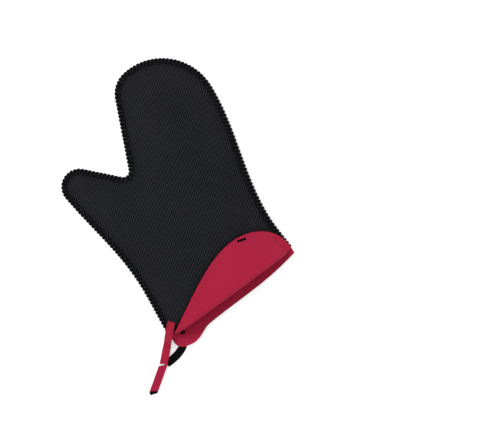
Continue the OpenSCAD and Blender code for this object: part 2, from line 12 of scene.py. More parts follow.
# %% Set-up
import bpy
import numpy as np
from mathutils import Matrix, Vector


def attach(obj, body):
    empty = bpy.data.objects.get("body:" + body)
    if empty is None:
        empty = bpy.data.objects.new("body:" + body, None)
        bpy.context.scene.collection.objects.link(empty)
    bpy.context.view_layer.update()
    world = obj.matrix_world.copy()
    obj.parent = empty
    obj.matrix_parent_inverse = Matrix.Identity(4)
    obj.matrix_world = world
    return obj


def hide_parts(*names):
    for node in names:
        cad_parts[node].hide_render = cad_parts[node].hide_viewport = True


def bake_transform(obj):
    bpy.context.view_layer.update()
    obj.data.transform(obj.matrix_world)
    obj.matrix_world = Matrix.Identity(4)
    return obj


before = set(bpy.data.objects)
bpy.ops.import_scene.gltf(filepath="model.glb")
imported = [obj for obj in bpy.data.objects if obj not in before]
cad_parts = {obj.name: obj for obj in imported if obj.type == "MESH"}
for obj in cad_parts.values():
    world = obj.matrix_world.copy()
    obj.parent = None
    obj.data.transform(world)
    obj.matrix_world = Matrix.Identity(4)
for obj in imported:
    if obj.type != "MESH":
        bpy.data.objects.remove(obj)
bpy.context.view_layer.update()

# %% [markdown]
# ## The camera first
#
# The mitt is looked at straight from above, and it lies at a slant in the frame: its fingers point
# up and 33 degrees to the left. A long lens keeps the flat shape true.

# %% Camera
FRAME_W = 0.600
VIEW_CENTRE, VIEW_ROLL = (0.0639, 0.0617), -33.0
LENS, SENSOR = 90.0, 36.0


def camera(name, centre, roll, height):
    """Camera straight above centre; a roll below zero makes +Y lean to the left in the frame."""
    data = bpy.data.cameras.new(name)
    data.lens = LENS
    data.sensor_width = SENSOR
    cam = bpy.data.objects.new(name, data)
    bpy.context.collection.objects.link(cam)
    cam.matrix_world = Matrix.Translation((*centre, height)) @ Matrix.Rotation(roll, 4, "Z")
    return cam


cam = camera("Camera", VIEW_CENTRE, np.radians(VIEW_ROLL), FRAME_W * LENS / SENSOR)
bpy.context.scene.camera = cam
print("camera height", round(cam.location.z, 3))

# %% [markdown]
# ## The outline
#
# The cut edge of both panels is a chain of arcs, lines and soft curves with common tangents, in
# millimetres, from the cuff on the thumb side clockwise to the cuff on the other side. With every
# point goes the direction into the mitt, because the seam and the hollow are measured from the edge.

# %% Outline


def turned(degrees):
    """Unit vector in that direction."""
    a = np.radians(degrees)
    return np.stack([np.cos(a), np.sin(a)], -1)


def arc(c, r, a, b, out=1.0, step=0.5):
    """Points c + r (cos t, sin t) for t from a to b, with the normal -out (cos t, sin t)."""
    n = max(3, int(abs(np.radians(b - a)) * r / step))
    t = turned(np.linspace(a, b, n, endpoint=False))
    return np.hstack([c + r * t, -out * t])


def line(a, b, step=0.5):
    """Points from a to b, with the normal to the right of the way."""
    n = max(3, int(np.linalg.norm(b - a) / step))
    d = (b - a) / np.linalg.norm(b - a)
    t = np.linspace(0, 1, n, endpoint=False)[:, None]
    return np.hstack([a + (b - a) * t, np.tile([d[1], -d[0]], (n, 1))])


def curve(a, ta, b, tb, step=0.5):
    """Cubic from a, leaving along ta, to b, arriving along tb; its handles are a third as long."""
    k = np.linalg.norm(b - a) * 0.34
    n = max(3, int(np.linalg.norm(b - a) / step))
    t = np.linspace(0, 1, n, endpoint=False)[:, None]
    p, q, u = a + k * ta, b - k * tb, 1 - t
    d = u * u * (p - a) + 2 * u * t * (q - p) + t * t * (b - q)
    d /= np.linalg.norm(d, axis=1, keepdims=True)
    return np.hstack([u**3 * a + 3 * u * u * t * p + 3 * u * t * t * q + t**3 * b,
                      np.stack([d[:, 1], -d[:, 0]], -1)])


def cross_angle(a, ra, b, rb, side):
    """Direction on circle a of the line that crosses over to the other side of circle b."""
    d = b - a
    return np.degrees(np.arctan2(d[1], d[0])) + side * np.degrees(
        np.arccos((ra + rb) / np.linalg.norm(d)))


hand_l, cuff_thumb, cuff_little, cuff_tilt = 287.5, 94.0, 85.0, 5.0
tip_r, index_r, thumb_r, web_r = 67.0, 32.0, 20.5, 8.0
tip_c = np.array([42.0, hand_l - tip_r])
index_c = tip_c + (tip_r - index_r) * turned(100.0)
thumb_c = np.array([-87.8, 202.5])
web_c = np.array([-34.0, 189.5])
cuff_a, cuff_b = np.array([-cuff_thumb, -cuff_tilt]), np.array([cuff_little, cuff_tilt])
waist_a, waist_b = np.array([-90.2, 76.0]), np.array([82.0, 46.0])
web_in = cross_angle(thumb_c, thumb_r, web_c, web_r, 1)
web_out = 360 + cross_angle(index_c, index_r, web_c, web_r, -1)

pieces = [
    curve(cuff_a, turned(88.0), waist_a, turned(91.5)),
    curve(waist_a, turned(91.5), thumb_c + thumb_r * turned(187.0), turned(97.0)),
    arc(thumb_c, thumb_r, 187, 158),
    arc(thumb_c, thumb_r, 158, 68),
    arc(thumb_c, thumb_r, 68, web_in),
    line(thumb_c + thumb_r * turned(web_in), web_c - web_r * turned(web_in)),
    arc(web_c, web_r, web_in + 180, 270, -1.0, 0.25),
    arc(web_c, web_r, 270, web_out + 180, -1.0, 0.25),
    line(web_c - web_r * turned(web_out), index_c + index_r * turned(web_out)),
    arc(index_c, index_r, web_out, 128),
    arc(index_c, index_r, 128, 100),
    arc(tip_c, tip_r, 100, 45),
    arc(tip_c, tip_r, 45, -4),
    curve(tip_c + tip_r * turned(-4.0), turned(-92.0), waist_b, turned(-90.0)),
    curve(waist_b, turned(-90.0), cuff_b, turned(-86.0)),
    np.array([[*cuff_b, -1.0, 0.0]]),
]
outline = np.vstack(pieces)
along = np.concatenate([[0], np.cumsum(np.linalg.norm(np.diff(outline[:, :2], axis=0), axis=1))])
starts = along[np.cumsum([0] + [len(p) for p in pieces[:-1]])]
s_end, s_web = along[-1], starts[7]
s_cap, s_tip = (starts[3], starts[4]), (starts[10], starts[12])
s_low, s_index, s_little = 77.0, s_web + 34.0, s_end - 172.0


def at(s):
    """Outline point at length s from the start."""
    return np.stack([np.interp(s, along, outline[:, k]) for k in (0, 1)], -1)


def inward(s):
    """Unit direction into the mitt at length s."""
    n = np.stack([np.interp(s, along, outline[:, k]) for k in (2, 3)], -1)
    return n / np.linalg.norm(n, axis=-1, keepdims=True)


print("outline", round(s_end), "mm, notch at", round(s_web), "mm")

# %% [markdown]
# ## The hollow
#
# Sewn panels open like a flat balloon: closed along the seam, rounding up within a few centimetres
# and nearly level in the middle. A smooth stand-in for the distance to the seam does this. Every
# bit of the seam counts with one over the fourth power of its distance, and the sum is turned back
# into a length, so thumb, web and palm flow into each other with no ridge.

# %% Heights
lining_t, core_t, core_edge_t, face_t = 0.5, 2.2, 1.2, 0.5
hollow_h, hollow_reach, edge_rise = 28.0, 25.0, 4.5
band, fold_gap = 6.2, 1.4
strap_core_t, strap_face_t, strap_w = 2.0, 0.5, 9.5
strap_t = strap_core_t + strap_face_t
corner_rise, corner_c = strap_t + 0.3, np.array([-79.0, -14.0])
corner_top, corner_reach, corner_squash = 1.6, 38.0, 0.8
hollow_start, core_run, back_run, upright_run, depth_scale = 4.0, 8.0, 12.0, 30.0, 1.162
edge_s = np.arange(2.0, s_end, 4.0)
edge_p = at(edge_s)


def ease(t):
    """Smooth step 3 t^2 - 2 t^3, held at 0 and 1 outside."""
    t = np.clip(t, 0, 1)
    return t * t * (3 - 2 * t)


def depth(p):
    """Smooth distance from the seam: (sum of 4 / d^4) to the power -1/3, scaled to be true near it."""
    flat = p.reshape(-1, 2)
    q = ((flat[:, None, :] - edge_p[None]) ** 2).sum(-1) + 0.01
    return (depth_scale * (4.0 / (q * q)).sum(1) ** (-1 / 3)).reshape(p.shape[:-1])


def corner(p):
    """The corner that lies on the rear strap: a flat-topped bump, eased out over its reach."""
    r = np.hypot(p[..., 0] - corner_c[0], (p[..., 1] - corner_c[1]) * corner_squash)
    return corner_rise * ease(corner_top - r / corner_reach)


def dents(p):
    """Slow unevenness of the soft panel: three waves across one another, 1.15 mm at most."""
    x, y = p[..., 0], p[..., 1]
    return (0.55 * np.sin(x / 31.0 + y / 57.0 + 0.6) * np.sin(y / 38.0 - x / 90.0)
            + 0.35 * np.sin(x / 17.0 - y / 23.0 + 2.0) + 0.25 * np.sin(y / 13.0 + x / 29.0))


def open_by(p, d):
    """Height of the hollow: rises as u^2 / (u + start) and levels off exponentially."""
    u = np.maximum(0, d - band)
    rise = 1 - np.exp(-u * u / ((u + hollow_start) * hollow_reach))
    return hollow_h * rise + dents(p) * ease(u / 22.0)


def core_at(d):
    """Foam thickness: squeezed under the stitch, full 8 mm further in."""
    return core_edge_t + (core_t - core_edge_t) * ease((d - band) / core_run)


def stack(d, share):
    """Thickness passed, as shares of lining, foam and face cloth plus a plain length."""
    return share[0] * lining_t + share[1] * core_at(d) + share[2] * face_t + share[3]


def ceiling(p):
    """Inner surface of the front panel over a plan point."""
    return np.concatenate([p, (edge_rise + corner(p) + open_by(p, depth(p)))[..., None]], -1)


def ceiling_normal(p):
    """Its normal, from the slopes over half a millimetre along x and y."""
    e = 0.5
    z = [ceiling(p + np.array(o))[..., 2] for o in ((0, 0), (e, 0), (0, e))]
    n = np.stack([z[0] - z[1], z[0] - z[2], np.full(z[0].shape, e)], -1)
    return n / np.linalg.norm(n, axis=-1, keepdims=True)


def upright(p):
    """Way straight up through the cloth for each millimetre of its thickness."""
    z = 1 / ceiling_normal(p)[..., 2:]
    return np.concatenate([0 * z, 0 * z, z], -1)


def over(p, share):
    """Surface at a thickness over the front panel's inner surface, straight above its plan point."""
    return ceiling(p) + stack(depth(p), share)[..., None] * upright(p)


def front(p, share):
    """The same straight up at the cuff, and along the normal from 3 cm above the fold on."""
    tilt = cuff_tilt * (2 * (p[..., 0] + cuff_thumb) / (cuff_thumb + cuff_little) - 1)
    m = ease((p[..., 1] - tilt) / upright_run)[..., None]
    way = upright(p) * (1 - m) + ceiling_normal(p) * m
    return ceiling(p) + stack(depth(p), share)[..., None] * way


def back(p, share):
    """Surface at a thickness below the back panel's inner surface, which lies almost flat."""
    d = depth(p)
    sink = (edge_rise - lining_t - core_t - face_t) * ease((d - band) / back_run)
    z = edge_rise + corner(p) - sink
    return np.concatenate([p, (z - stack(d, share))[..., None]], -1)


INNER, UNDER_CORE, OVER_CORE, OUTER = (0, 0, 0, 0), (1, 0, 0, 0), (1, 1, 0, 0), (1, 1, 1, 0)
print("height over the palm", ceiling(np.array([[0.0, 110.0]]))[0, 2].round(1), "mm")

# %% [markdown]
# ## Two patches of plan points
#
# The palm is ruled straight across from side to side. The fingers and the thumb have four curved
# sides and are filled by blending opposite ones (a Coons patch). Palm and fingers are one grid; the
# thumb's starts on the line where the thumb folds, with the same points, so that they meet.

# %% Plan grids


def coons(left, right, low, top, u, v):
    """Blend of opposite sides less the blend of the corners, at the shares u across and v up."""
    u, v = u[None, :, None], v[:, None, None]
    sides = left[:, None] * (1 - u) + right[:, None] * u
    ends = low[None] * (1 - v) + top[None] * v
    corners = (left[0] * (1 - u) + right[0] * u) * (1 - v)
    corners = corners + (left[-1] * (1 - u) + right[-1] * u) * v
    return sides + ends - corners


fine, cols, tip_rows, thumb_rows = 7, 84, 48, 56
side_crowd, tip_crowd, thumb_crowd = 0.11, 1.35, 1.25
t = np.linspace(0, 1, cols + 1)
spread = t - side_crowd * np.sin(2 * np.pi * t)
side_s = np.linspace(0, s_low, 5 * fine + 1)
fold_line = at(s_low) + (at(s_web) - at(s_low)) * np.linspace(0, 1, 7 * fine + 1)[1:, None]
web_s = np.linspace(s_web, s_index, 3 * fine + 1)[1:]
little_s = np.linspace(s_end, s_little, 15 * fine + 1)
palm_left = np.vstack([at(side_s), fold_line, at(web_s)])
palm = palm_left[:, None] + (at(little_s) - palm_left)[:, None] * spread[None, :, None]

v = 1 - (1 - np.linspace(0, 1, tip_rows + 1)) ** tip_crowd
low = palm[-1]
top = at(s_tip[0] + (s_tip[1] - s_tip[0]) * spread)
fingers = coons(at(s_index + (s_tip[0] - s_index) * v), at(s_little + (s_tip[1] - s_little) * v),
                low, top, spread, v)
hand = np.vstack([palm, fingers[1:]])

thumb_low = np.vstack([at(s_low)[None], fold_line])
v = 1 - (1 - np.linspace(0, 1, thumb_rows + 1)) ** thumb_crowd
thumb = coons(at(s_low + (s_cap[0] - s_low) * v), at(s_web + (s_cap[1] - s_web) * v), thumb_low,
              at(np.linspace(*s_cap, len(thumb_low))), np.linspace(0, 1, len(thumb_low)), v)
print("hand patch", hand.shape, "thumb patch", thumb.shape)

# %% [markdown]
# ## From grids to closed cloth
#
# A layer is a closed shell between an upper and a lower grid of points. Its broad sides are shaded
# with the surface's own normals, so that patches meet invisibly, and its thin cut edges stay crisp.
# The weave needs a map that follows the cloth, so each point carries its place on the flat cut.

# %% Shell maker
MM = 0.001


def grid_faces(m, n, first=0, flip=False):
    """Quads of an m by n grid of points whose first index is given."""
    k = np.arange(m * n).reshape(m, n) + first
    q = np.stack([k[:-1, :-1], k[1:, :-1], k[1:, 1:], k[:-1, 1:]], -1).reshape(-1, 4)
    return q[:, ::-1] if flip else q


def grid_normals(g):
    """Normals of a grid of points, from the differences along rows and columns."""
    n = np.cross(np.gradient(g, axis=1), np.gradient(g, axis=0))
    return n / np.maximum(np.linalg.norm(n, axis=-1, keepdims=True), 1e-12)


def mesh_object(name, points, faces, material, uv, loop_normals=None):
    """Mesh from points in millimetres and quads, with a map per point and normals per corner."""
    mesh = bpy.data.meshes.new(name)
    mesh.vertices.add(len(points))
    mesh.vertices.foreach_set("co", (points * MM).astype(np.float32).ravel())
    mesh.loops.add(faces.size)
    mesh.loops.foreach_set("vertex_index", faces.astype(np.int32).ravel())
    mesh.polygons.add(len(faces))
    first = np.arange(0, faces.size, faces.shape[1], dtype=np.int32)
    mesh.polygons.foreach_set("loop_start", first)
    mesh.polygons.foreach_set("use_smooth", np.ones(len(faces), bool))
    mesh.update(calc_edges=True)
    layer = mesh.uv_layers.new(name="cloth")
    layer.data.foreach_set("uv", (uv[faces.ravel()] * MM).astype(np.float32).ravel())
    if loop_normals is not None:
        mesh.normals_split_custom_set(loop_normals.astype(float).tolist())
    mesh.materials.append(material)
    mesh.validate()
    obj = bpy.data.objects.new(name, mesh)
    bpy.context.collection.objects.link(obj)
    return obj


def shell(name, upper, lower, material, up=None, uv=None):
    """Closed shell between two grids; walls run round the edge. up holds the upper normals."""
    m, n = upper.shape[:2]
    h = m * n
    if (grid_normals(upper) * (upper - lower)).sum() < 0:
        upper, lower = upper[:, ::-1], lower[:, ::-1]
        up = None if up is None else up[:, ::-1]
        uv = None if uv is None else uv[:, ::-1]
    up = grid_normals(upper) if up is None else up
    k = np.arange(h).reshape(m, n)
    rim = np.concatenate([k[0, :-1], k[:-1, -1], k[-1, :0:-1], k[:0:-1, 0]])
    nxt = np.roll(rim, -1)
    walls = np.stack([rim, nxt, nxt + h, rim + h], -1)
    broad = np.vstack([grid_faces(m, n, flip=True), grid_faces(m, n, h)])
    points = np.vstack([upper.reshape(-1, 3), lower.reshape(-1, 3)])
    faces = np.vstack([broad, walls[:, ::-1]])
    normals = np.vstack([up.reshape(-1, 3), -up.reshape(-1, 3)])[broad.ravel()]
    w = points[walls[:, ::-1]]
    flat = np.cross(w[:, 2] - w[:, 0], w[:, 3] - w[:, 1])
    flat /= np.maximum(np.linalg.norm(flat, axis=1, keepdims=True), 1e-12)
    if uv is None:
        x = np.cumsum(np.linalg.norm(np.diff(upper, axis=1, prepend=upper[:, :1]), axis=-1), 1)
        y = np.cumsum(np.linalg.norm(np.diff(upper, axis=0, prepend=upper[:1]), axis=-1), 0)
        uv = np.stack([x, y], -1)
    uv = np.vstack([uv.reshape(-1, 2)] * 2)
    normals = np.vstack([normals, np.repeat(flat, 4, 0)])
    return mesh_object(name, points, faces, material, uv, normals)


# %% [markdown]
# ## Finishes: one weave group for all cloths
#
# The face cloth is a coarse ribbed knit, the lining a fine jersey. Both are rows of small loops, so
# one node group draws both. It turns the cloth's map, lays sine ribs across it, breaks each rib into
# loops by a second sine that is shifted from rib to rib, and adds slow stains for unevenness.

# %% Weave group


def put(tree, kind, location=(0, 0), **values):
    """New node of a kind; keyword values are sockets by name with spaces as underscores."""
    node = tree.nodes.new(kind)
    node.location = location
    for key, value in values.items():
        if hasattr(node, key) and not isinstance(value, bpy.types.NodeSocket):
            setattr(node, key, value)
            continue
        socket = node.inputs[int(key[1:])] if key[0] == "i" and key[1:].isdigit() else \
            node.inputs[key.replace("_", " ")]
        if isinstance(value, bpy.types.NodeSocket):
            tree.links.new(value, socket)
        else:
            socket.default_value = value
    return node


def calc(tree, operation, a, b=0.0, c=0.0, at_place=(0, 0)):
    """Math node; returns its output socket."""
    return put(tree, "ShaderNodeMath", at_place, operation=operation, i0=a, i1=b, i2=c).outputs[0]


def new_group(name, inputs, outputs):
    """Empty node group with named sockets; returns the tree and its input and output nodes."""
    tree = bpy.data.node_groups.new(name, "ShaderNodeTree")
    for label, kind, value in inputs:
        socket = tree.interface.new_socket(label, in_out="INPUT", socket_type=kind)
        if value is not None:
            socket.default_value = value
    for label, kind in outputs:
        tree.interface.new_socket(label, in_out="OUTPUT", socket_type=kind)
    return tree, put(tree, "NodeGroupInput", (-1200, 0)), put(tree, "NodeGroupOutput", (900, 0))


knit, k_in, k_out = new_group(
    "knit", [("Vector", "NodeSocketVector", None), ("Rib pitch", "NodeSocketFloat", 0.0026),
             ("Loop pitch", "NodeSocketFloat", 0.0016), ("Turn", "NodeSocketFloat", 0.0)],
    [("Height", "NodeSocketFloat"), ("Shade", "NodeSocketFloat")])
axis_turn = put(knit, "ShaderNodeVectorRotate", (-1000, 0), rotation_type="Z_AXIS",
                Vector=k_in.outputs["Vector"], Angle=k_in.outputs["Turn"])
wander = put(knit, "ShaderNodeTexNoise", (-1000, -260), Vector=k_in.outputs["Vector"], Scale=42.0,
             Detail=2.0)
xyz = put(knit, "ShaderNodeSeparateXYZ", (-820, 0), Vector=axis_turn.outputs[0])
sway = calc(knit, "MULTIPLY_ADD", wander.outputs[0], 0.0022, -0.0011, (-820, -200))
x = calc(knit, "ADD", xyz.outputs[0], sway, at_place=(-640, 60))
ribs = calc(knit, "DIVIDE", x, k_in.outputs["Rib pitch"], at_place=(-480, 60))
loops = calc(knit, "DIVIDE", xyz.outputs[1], k_in.outputs["Loop pitch"], at_place=(-480, -120))
rib_wave = calc(knit, "SINE", calc(knit, "MULTIPLY", ribs, 2 * np.pi, at_place=(-320, 60)),
                at_place=(-160, 60))
row_shift = calc(knit, "MULTIPLY_ADD", rib_wave, 0.25, loops, (-320, -120))
loop_wave = calc(knit, "SINE", calc(knit, "MULTIPLY", row_shift, 2 * np.pi, at_place=(-160, -120)),
                 at_place=(0, -120))
rib_share = calc(knit, "MULTIPLY_ADD", rib_wave, 0.32, 0.5, (0, 60))
height = calc(knit, "MULTIPLY_ADD", loop_wave, 0.18, rib_share, (180, 0))
stain = put(knit, "ShaderNodeTexNoise", (0, -320), Vector=k_in.outputs["Vector"], Scale=14.0,
            Detail=4.0, Roughness=0.6)
shade = calc(knit, "MULTIPLY_ADD", stain.outputs[0], 0.25, height, (340, -60))
knit.links.new(height, k_out.inputs["Height"])
knit.links.new(shade, k_out.inputs["Shade"])


def principled(name, roughness, specular=0.1):
    """Material with a plain Principled shader; returns material, tree and shader."""
    mat = bpy.data.materials.new(name)
    mat.use_nodes = True
    tree = mat.node_tree
    shader = tree.nodes["Principled BSDF"]
    shader.inputs["Roughness"].default_value = roughness
    shader.inputs["Specular IOR Level"].default_value = specular
    return mat, tree, shader


def set_ramp(ramp, places, dark, light):
    """Gives a colour ramp's two stops their places and colours."""
    for stop, place, colour in zip(ramp.color_ramp.elements, places, (dark, light)):
        stop.position = place
        stop.color = (*colour, 1)


def cloth(name, dark, light, rib, loop, turn, bump, roughness):
    """Knitted cloth: two colours mixed by the weave's shade, and the weave as bump."""
    mat, tree, shader = principled(name, roughness)
    uv = put(tree, "ShaderNodeUVMap", (-900, 0), uv_map="cloth")
    weave = put(tree, "ShaderNodeGroup", (-700, 0), node_tree=knit)
    tree.links.new(uv.outputs[0], weave.inputs["Vector"])
    weave.inputs["Rib pitch"].default_value = rib
    weave.inputs["Loop pitch"].default_value = loop
    weave.inputs["Turn"].default_value = turn
    ramp = put(tree, "ShaderNodeValToRGB", (-480, 120), Fac=weave.outputs["Shade"])
    set_ramp(ramp, (0.4, 0.92), dark, light)
    tree.links.new(ramp.outputs[0], shader.inputs["Base Color"])
    relief = put(tree, "ShaderNodeBump", (-300, -200), Height=weave.outputs["Height"],
                 Distance=bump, Strength=1.0)
    tree.links.new(relief.outputs[0], shader.inputs["Normal"])
    return mat


face_cloth = cloth("face_knit", (0.0012, 0.0015, 0.0026), (0.0245, 0.0250, 0.0300), 0.0026, 0.0019,
                   np.radians(53.0), 0.0006, 0.85)
lining = cloth("red_jersey", (0.33, 0.010, 0.036), (0.45, 0.018, 0.059), 0.0011, 0.0009, 0.0,
               0.0002, 0.8)
print("cloths", face_cloth.name, lining.name)

# %% [markdown]
# ## Foam and thread
#
# Cut foam rubber is matt and full of tiny cells, so two scales of noise dent it. Thread is twisted:
# along each stitch the map runs in millimetres round and along, and a slanted sine makes the plies.

# %% Foam and thread


def foam_material():
    """Black foam rubber with open cells at the cut, read in object space."""
    mat, tree, shader = principled("foam_rubber", 0.9, 0.04)
    place = put(tree, "ShaderNodeTexCoord", (-900, 0))
    cells = put(tree, "ShaderNodeTexVoronoi", (-700, 0), Vector=place.outputs["Object"], Scale=2600.0)
    grain = put(tree, "ShaderNodeTexNoise", (-700, -260), Vector=place.outputs["Object"], Scale=420.0,
                Detail=3.0)
    ramp = put(tree, "ShaderNodeValToRGB", (-480, 120), Fac=grain.outputs[0])
    set_ramp(ramp, (0.3, 0.8), (0.0015,) * 3, (0.006,) * 3)
    tree.links.new(ramp.outputs[0], shader.inputs["Base Color"])
    relief = put(tree, "ShaderNodeBump", (-300, -200), Height=cells.outputs["Distance"],
                 Distance=0.0002, Strength=0.6)
    tree.links.new(relief.outputs[0], shader.inputs["Normal"])
    return mat


def thread_material(name, dark, light, pitch):
    """Spun thread: plies slanted round it by a sine of the map's two directions."""
    mat, tree, shader = principled(name, 0.7, 0.03)
    uv = put(tree, "ShaderNodeUVMap", (-1000, 0), uv_map="cloth")
    xyz = put(tree, "ShaderNodeSeparateXYZ", (-820, 0), Vector=uv.outputs[0])
    slant = calc(tree, "ADD", xyz.outputs[0], xyz.outputs[1], at_place=(-660, 0))
    plies = calc(tree, "SINE", calc(tree, "MULTIPLY", slant, 2 * np.pi / pitch, at_place=(-500, 0)),
                 at_place=(-340, 0))
    share = calc(tree, "MULTIPLY_ADD", plies, 0.5, 0.5, (-200, 60))
    ramp = put(tree, "ShaderNodeValToRGB", (-40, 120), Fac=share)
    set_ramp(ramp, (0.0, 1.0), dark, light)
    tree.links.new(ramp.outputs[0], shader.inputs["Base Color"])
    relief = put(tree, "ShaderNodeBump", (-40, -200), Height=share, Distance=0.00025, Strength=0.8)
    tree.links.new(relief.outputs[0], shader.inputs["Normal"])
    return mat


foam = foam_material()
thread = thread_material("black_thread", (0.0015, 0.0015, 0.002), (0.007, 0.007, 0.008), 0.0009)
print("foam and thread ready")

# %% [markdown]
# ## The front panel, with its cuff turned back
#
# The front panel's three layers run up from the fold over the hand. Below the fold they turn round
# a small radius and lie back on the panel, lining outwards, as a leaf-shaped flap. In the arrays the
# flap's rows come first, then the half circle of the fold, then the palm.

# %% Cuff rows
flap_h, flap_x, flap_start, flap_end = 48.0, 31.0, 84.0, 1.5
flap_steep, flap_level = 1.36, 0.36
flap_lift, lift_run, lining_short = 1.6, 15.0, 1.3


def flap_at(x):
    """Height of the flap's free edge over the fold: rising to the crest, then round to the end."""
    left = np.clip((x + flap_start) / (flap_x + flap_start), 0, None)
    right = (cuff_little - x) / (cuff_little - flap_x)
    rise = np.where(x < flap_x, left * (flap_steep - flap_level * left**3),
                    np.sqrt(np.clip(right * (2 - right), 0, 1)))
    return flap_end + (flap_h - flap_end) * rise


def fold_row(p, share, a):
    """Half circle round the fold's axis, a from pi on the flap to 0 on the palm."""
    d = depth(p)
    r = (stack(d, OUTER) - stack(d, share) + fold_gap / 2)[..., None]
    way = np.cos(a) * upright(p) + np.sin(a) * np.array([0, 1, 0])
    return over(p, (1, 1, 1, fold_gap / 2)) - r * way


flap_rows, fold_rows = 26, 12
cuff_line = hand[0]


def cuffed(share, short=0.0):
    """Flap, fold and panel as one grid at a share of the thickness; the flap's edge lifts a bit."""
    rows = []
    for t in np.linspace(1, 0, flap_rows, endpoint=False):
        reach = np.maximum(flap_at(cuff_line[:, 0]) - short, 0.3) * t
        p = cuff_line + np.stack([0 * reach, reach], -1)
        lift = flap_lift * t**3 * ease((depth(p) - band) / lift_run)
        swapped = (2 - share[0], 2 - share[1], 2 - share[2], fold_gap)
        rows.append(over(p, swapped) + lift[:, None] * np.array([0, 0, 1]))
    for a in np.linspace(np.pi, 0, fold_rows, endpoint=False):
        rows.append(fold_row(cuff_line, share, a))
    return np.concatenate([np.array(rows), front(hand, share)])


def cloth_map(grid, plan, extra):
    """Plan place on the panel; on the extra rows before it, x and the length along the cloth."""
    step = np.linalg.norm(np.diff(grid[: extra + 1], axis=0), axis=-1)
    back_length = np.cumsum(step[::-1], axis=0)[::-1]
    first = np.stack([np.broadcast_to(plan[0, :, 0], back_length.shape),
                      plan[0, :, 1] - back_length], -1)
    return np.concatenate([first, plan])


def up_normals(grid, plan, extra):
    """Grid normals on the extra rows, the surface's own normals on the panel."""
    n = grid_normals(grid)
    n[extra:] = ceiling_normal(plan)
    return n


extra = flap_rows + fold_rows
levels = {name: cuffed(share, short) for name, share, short in
          (("inner", INNER, lining_short), ("lined", UNDER_CORE, lining_short),
           ("under", UNDER_CORE, 0.0), ("over", OVER_CORE, 0.0), ("outer", OUTER, 0.0))}
uv_front = cloth_map(levels["outer"], hand, extra)
up_front = up_normals(levels["outer"], hand, extra)
front_hand = [
    shell("front_face_hand", levels["outer"], levels["over"], face_cloth, up_front, uv_front),
    shell("front_core_hand", levels["over"], levels["under"], foam, up_front, uv_front),
    shell("front_lining_hand", levels["lined"], levels["inner"], lining, up_front, uv_front),
]
up_thumb = ceiling_normal(thumb)
layers = (("face", OVER_CORE, OUTER, face_cloth), ("core", UNDER_CORE, OVER_CORE, foam),
          ("lining", INNER, UNDER_CORE, lining))
front_thumb = [shell(f"front_{n}_thumb_{kind}", front(thumb, b), front(thumb, a), m, up_thumb, thumb)
               for (n, a, b, m), kind in zip(layers, ("skin", "pad", "skin"))]
print("front panel:", [len(o.data.polygons) for o in front_hand + front_thumb])

# %% [markdown]
# ## The back panel and its lip
#
# The back panel lies nearly flat. It reaches past the fold by a lip, deeper on the thumb side, with
# a round lobe under which the strap's rear run is sewn. Its red lining shows there.

# %% Back panel
lip_little, lip_thumb, lip_r = 8.6, 20.0, 9.0
lobe_h, lobe_x, lobe_w = 6.0, 71.0, 24.0
sag_h, sag_from, sag_skew, lip_rows = 3.0, 0.25, 1.6, 10


def lip_at(x):
    """Depth of the lip: a taper, the lobe (a squared parabola) and a sag, less a round corner."""
    bump = np.clip(1 - ((x + lobe_x) / lobe_w) ** 2, 0, None)
    share = (x + cuff_thumb) / (cuff_little + cuff_thumb)
    c = np.clip(1 - (x + cuff_thumb) / lip_r, 0, 1)
    sag = np.sin(np.pi * np.clip((share - sag_from) / (1 - sag_from), 0, 1) ** sag_skew)
    return (lip_thumb + (lip_little - lip_thumb) * share + lobe_h * bump**2 + sag_h * sag
            - lip_r * (1 - np.sqrt(1 - c * c)))


lip_share = np.linspace(1, 0, lip_rows, endpoint=False)[:, None]
lip = np.stack([np.broadcast_to(cuff_line[:, 0], (lip_rows, len(cuff_line))),
                cuff_line[:, 1] - lip_at(cuff_line[:, 0]) * lip_share], -1)
back_plan = np.concatenate([lip, hand])
back_hand = [shell(f"back_{n}_hand", back(back_plan, a), back(back_plan, b), m, uv=back_plan)
             for n, a, b, m in layers]
back_thumb = [shell(f"back_{n}_thumb_layer", back(thumb, a), back(thumb, b), m, uv=thumb)
              for n, a, b, m in layers]
print("back panel:", [len(o.data.polygons) for o in back_hand + back_thumb])

# %% [markdown]
# ## Edge stitch
#
# The edge is whipped with thick black thread: one loop every 4.6 millimetres goes through both
# panels, over the edge and back. Under the loops a thin folded band covers the cut foam; it has the
# face cloth's finish. Small needle stitches make a dotted row along its inner side. Each loop is a
# tube whose path is the same in every place; only its place on the outline changes, so all are one
# array.

# %% Stitches
half_seam = lining_t + core_edge_t + face_t
loop_pitch, needle_d, band_step, tube_sides = 4.6, 5.75, 0.9, 8


def seam_point(s, d, z):
    """Point at length s, depth d inside the edge and height z over the seam's middle."""
    p = at(s)
    q = p + np.maximum(0, d)[..., None] * inward(s)
    h = edge_rise + corner(q) + z
    return np.concatenate([p + d[..., None] * inward(s), h[..., None]], -1)


